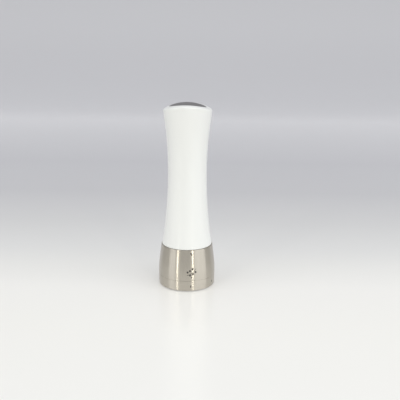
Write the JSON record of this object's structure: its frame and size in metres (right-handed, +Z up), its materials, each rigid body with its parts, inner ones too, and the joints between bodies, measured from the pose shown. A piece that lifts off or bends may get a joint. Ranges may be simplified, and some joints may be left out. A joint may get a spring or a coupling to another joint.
{
  "type": "pepper mill",
  "caption": "Waisted white pepper mill: the body twists on a steel base, a ring at its foot sets the grind, and the body lifts off to fill it.",
  "frame": {"origin": "on the table at the mill's axis", "axes": "+Z up along the axis; the emblem and index dot face -Y, about 11 degrees towards +X"},
  "size_m": [0.0656, 0.0656, 0.21],
  "materials": {
    "steel": "turned, finely brushed round the axis",
    "inlay_steel": "fine brushed disc",
    "white_lacquer": "white satin lacquer on turned beech",
    "mark": "dark filled engraving",
    "core_plastic": "moulded, lightly grained",
    "slide_plastic": "acetal, smooth",
    "seal_rubber": "matt",
    "clear": "clear polished acrylic",
    "burr_steel": "hardened, dull",
    "shaft_steel": "drawn bar",
    "spring_steel": "smooth wire and strip",
    "zinc": "zinc plated",
    "brass": "turned"
  },
  "bodies": {
    "base": {"base_shell": "steel", "shell_marks": "mark", "mill_housing": "core_plastic", "base_plate": "core_plastic", "plate_screws": "zinc", "ring_clip": "spring_steel", "click_spring": "spring_steel", "bearing_ring": "slide_plastic", "friction_ring": "seal_rubber", "pepper_reservoir": "clear", "shaft_bridge": "core_plastic", "bridge_screws": "zinc", "shaft_bush": "brass"},
    "grind_ring": {"adjusting_ring": "steel", "setting_marks": "mark", "cam_ring": "core_plastic", "foot_ring": "seal_rubber"},
    "burr_lift": {"burr_carrier": "slide_plastic", "outer_burr": "burr_steel", "burr_screws": "zinc"},
    "drive": {"drive_shaft": "shaft_steel", "inner_burr": "burr_steel", "burr_clip": "spring_steel", "burr_spring": "spring_steel", "spring_washer": "shaft_steel", "shaft_collar": "shaft_steel"},
    "body": {"mill_body": "white_lacquer", "top_inlay": "inlay_steel", "inlay_pins": "shaft_steel", "drive_socket": "core_plastic", "socket_screws": "zinc", "body_ferrule": "slide_plastic"}
  },
  "joints": [
    {"name": "mill_turn", "type": "hinge", "parent": "base", "child": "drive", "pos_m": [0, 0, 0.0385], "axis": [0, 0, 1], "continuous": true},
    {"name": "body_lift_off", "type": "slide", "parent": "drive", "child": "body", "axis": [0, 0, 1], "range_m": [0, 0.15]},
    {"name": "ring_turn", "type": "hinge", "parent": "base", "child": "grind_ring", "pos_m": [0, 0, 0.0065], "axis": [0, 0, -1], "range_deg": [0, 275], "deforming": ["click_spring"]},
    {"name": "outer_burr_lift", "type": "slide", "parent": "base", "child": "burr_lift", "axis": [0, 0, 1], "range_m": [0, 0.0023]}
  ],
  "couplings": [
    {"joint": "outer_burr_lift", "follows": "ring_turn", "m_per_rad": 0.00047746}
  ]
}
